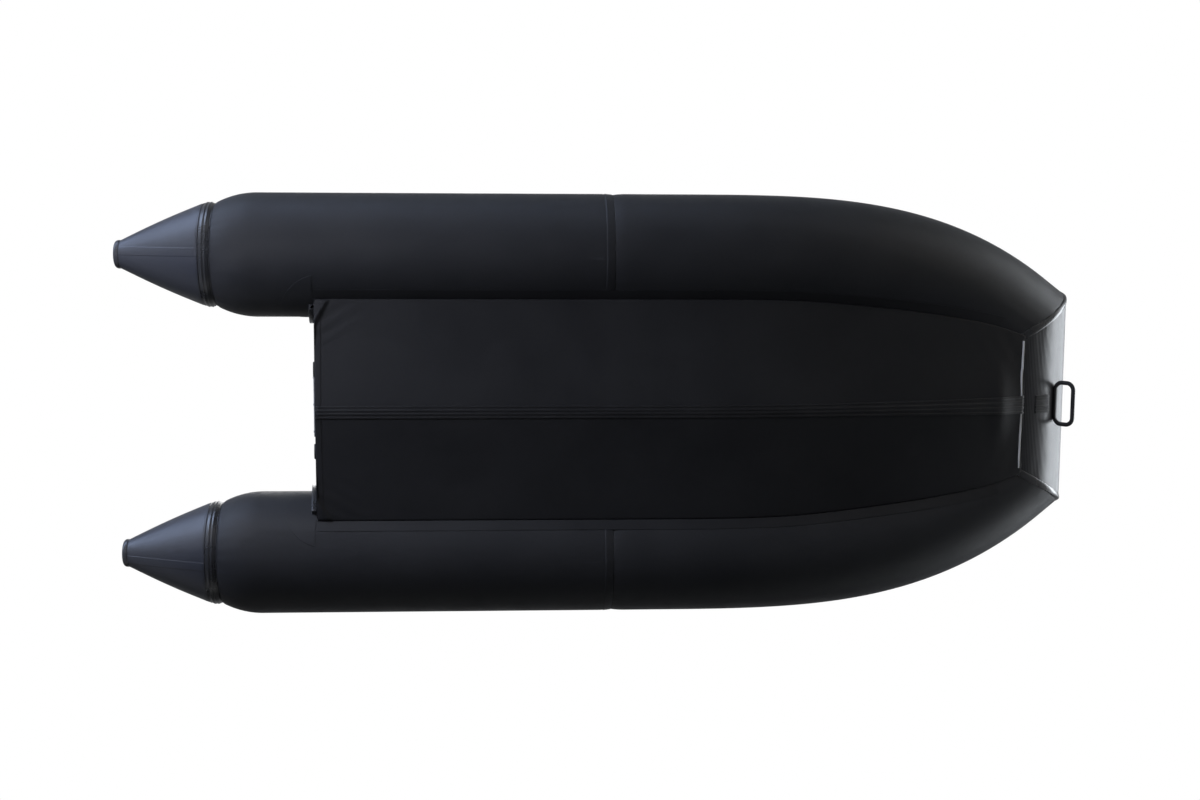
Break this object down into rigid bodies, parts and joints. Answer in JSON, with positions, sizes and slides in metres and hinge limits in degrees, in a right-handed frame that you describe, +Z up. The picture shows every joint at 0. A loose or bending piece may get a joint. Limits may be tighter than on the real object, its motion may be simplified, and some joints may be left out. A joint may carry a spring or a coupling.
{
  "type": "inflatable boat",
  "caption": "Inflatable boat with tapered stern cones, a blunt mitred bow, a soft V bottom, a board transom, floor boards, sliding seats and rowlocks.",
  "frame": {"origin": "on the floor, under the middle of the overall length and beam", "axes": "+X towards the bow, +Y to port, +Z up"},
  "size_m": [3.6, 1.57, 0.646],
  "materials": {
    "tube_fabric": "black coated fabric, satin",
    "bottom_fabric": "black coated fabric, matt",
    "cone_fabric": "black coated fabric, satin",
    "moulded_rubber": "moulded black rubber",
    "black_plastic": "moulded",
    "grey_plastic": "moulded",
    "transom_wood": "black painted plywood",
    "floor_wood": "grey sealed plywood with a fine non-slip coat",
    "floor_metal": "anodised",
    "seat_wood": "grey painted plywood"
  },
  "bodies": {
    "hull": {"bottom_flange_port": "tube_fabric", "bottom_flange_starboard": "tube_fabric", "bow_guard": "moulded_rubber", "bow_handle": "moulded_rubber", "carry_handle_aft_port": "moulded_rubber", "carry_handle_aft_starboard": "moulded_rubber", "carry_handle_fore_port": "moulded_rubber", "carry_handle_fore_starboard": "moulded_rubber", "chamber_aft_port": "tube_fabric", "chamber_aft_starboard": "tube_fabric", "chamber_bow": "tube_fabric", "chamber_fore_port": "tube_fabric", "chamber_fore_starboard": "tube_fabric", "cone_band_port": "cone_fabric", "cone_band_starboard": "cone_fabric", "cone_cap_port": "moulded_rubber", "cone_cap_starboard": "moulded_rubber", "cone_port": "cone_fabric", "cone_starboard": "cone_fabric", "drain_port": "black_plastic", "drain_starboard": "black_plastic", "floor_board_1": "floor_wood", "floor_board_2": "floor_wood", "floor_board_3": "floor_wood", "floor_board_bow": "floor_wood", "floor_joiner_1": "floor_metal", "floor_joiner_2": "floor_metal", "floor_stringer_port": "floor_metal", "floor_stringer_starboard": "floor_metal", "hull_bottom": "bottom_fabric", "keel_guard": "moulded_rubber", "keel_tube": "bottom_fabric", "motor_plate_inner": "grey_plastic", "motor_plate_outer": "grey_plastic", "rowlock_base_port": "black_plastic", "rowlock_base_starboard": "black_plastic", "rub_strake_bow": "moulded_rubber", "rub_strake_port": "moulded_rubber", "rub_strake_starboard": "moulded_rubber", "seat_rail_port": "moulded_rubber", "seat_rail_starboard": "moulded_rubber", "transom_board": "transom_wood", "transom_holder_port": "moulded_rubber", "transom_holder_starboard": "moulded_rubber", "transom_patch_port": "tube_fabric", "transom_patch_starboard": "tube_fabric", "valve_aft_port": "grey_plastic", "valve_aft_starboard": "grey_plastic", "valve_bow": "grey_plastic", "valve_fore_port": "grey_plastic", "valve_fore_starboard": "grey_plastic"},
    "seat_rear": {"seat_rear": "seat_wood"},
    "seat_front": {"seat_front": "seat_wood"},
    "rowlock_port": {"rowlock_ring_port": "grey_plastic"},
    "rowlock_starboard": {"rowlock_ring_starboard": "grey_plastic"}
  },
  "joints": [
    {"name": "seat_rear_slide", "type": "slide", "parent": "hull", "child": "seat_rear", "axis": [1, 0, 0], "range_m": [-0.2, 0.13]},
    {"name": "seat_front_slide", "type": "slide", "parent": "hull", "child": "seat_front", "axis": [1, 0, 0], "range_m": [-0.13, 0.15]},
    {"name": "rowlock_port_swivel", "type": "hinge", "parent": "hull", "child": "rowlock_port", "pos_m": [-0.275, 0.557, 0.486], "axis": [0, 0, 1], "continuous": true},
    {"name": "rowlock_starboard_swivel", "type": "hinge", "parent": "hull", "child": "rowlock_starboard", "pos_m": [-0.275, -0.557, 0.486], "axis": [0, 0, 1], "continuous": true}
  ]
}
